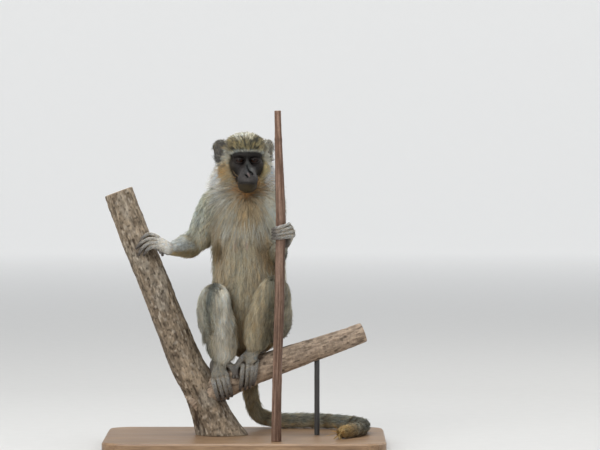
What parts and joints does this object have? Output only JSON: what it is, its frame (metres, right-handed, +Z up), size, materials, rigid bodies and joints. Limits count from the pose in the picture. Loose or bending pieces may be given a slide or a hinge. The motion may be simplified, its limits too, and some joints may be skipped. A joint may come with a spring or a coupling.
{
  "type": "vervet monkey figure",
  "caption": "Life-size young vervet monkey, a still model, squatting on a forked perch with one hand on the trunk and one round an upright stem.",
  "frame": {"origin": "on the flat underside of the base board, under the middle of the animal", "axes": "+Z up, -Y the way the animal faces, +X its left side"},
  "size_m": [0.4204, 0.3, 0.5061],
  "materials": {
    "coat_olive": "ticked olive fur",
    "coat_pale": "soft cream fur",
    "coat_grey": "grizzled grey fur",
    "coat_gold": "golden fur",
    "bare_skin": "soft dark bare skin",
    "eye": "wet gloss",
    "bark": "rough bark",
    "vine": "ridged bark",
    "board": "satin stained wood",
    "steel": "satin black"
  },
  "bodies": {
    "root": {"torso": "coat_pale", "head": "coat_olive", "neck": "coat_pale", "eye_left": "eye", "eye_right": "eye", "ear_left": "bare_skin", "ear_right": "bare_skin", "upper_arm_right": "coat_grey", "upper_arm_left": "coat_grey", "forearm_right": "coat_grey", "forearm_left": "coat_grey", "hand_right": "bare_skin", "hand_left": "bare_skin", "thigh_right": "coat_grey", "thigh_left": "coat_grey", "shank_right": "coat_pale", "shank_left": "coat_pale", "foot_right": "bare_skin", "foot_left": "bare_skin", "tail_1": "coat_olive", "tail_2": "coat_olive", "tail_3": "coat_olive", "tail_4": "coat_olive", "tail_5": "coat_gold", "perch_trunk": "bark", "perch_branch": "bark", "perch_stem": "vine", "stand_base": "board", "stand_rod": "steel"}
  },
  "joints": []
}
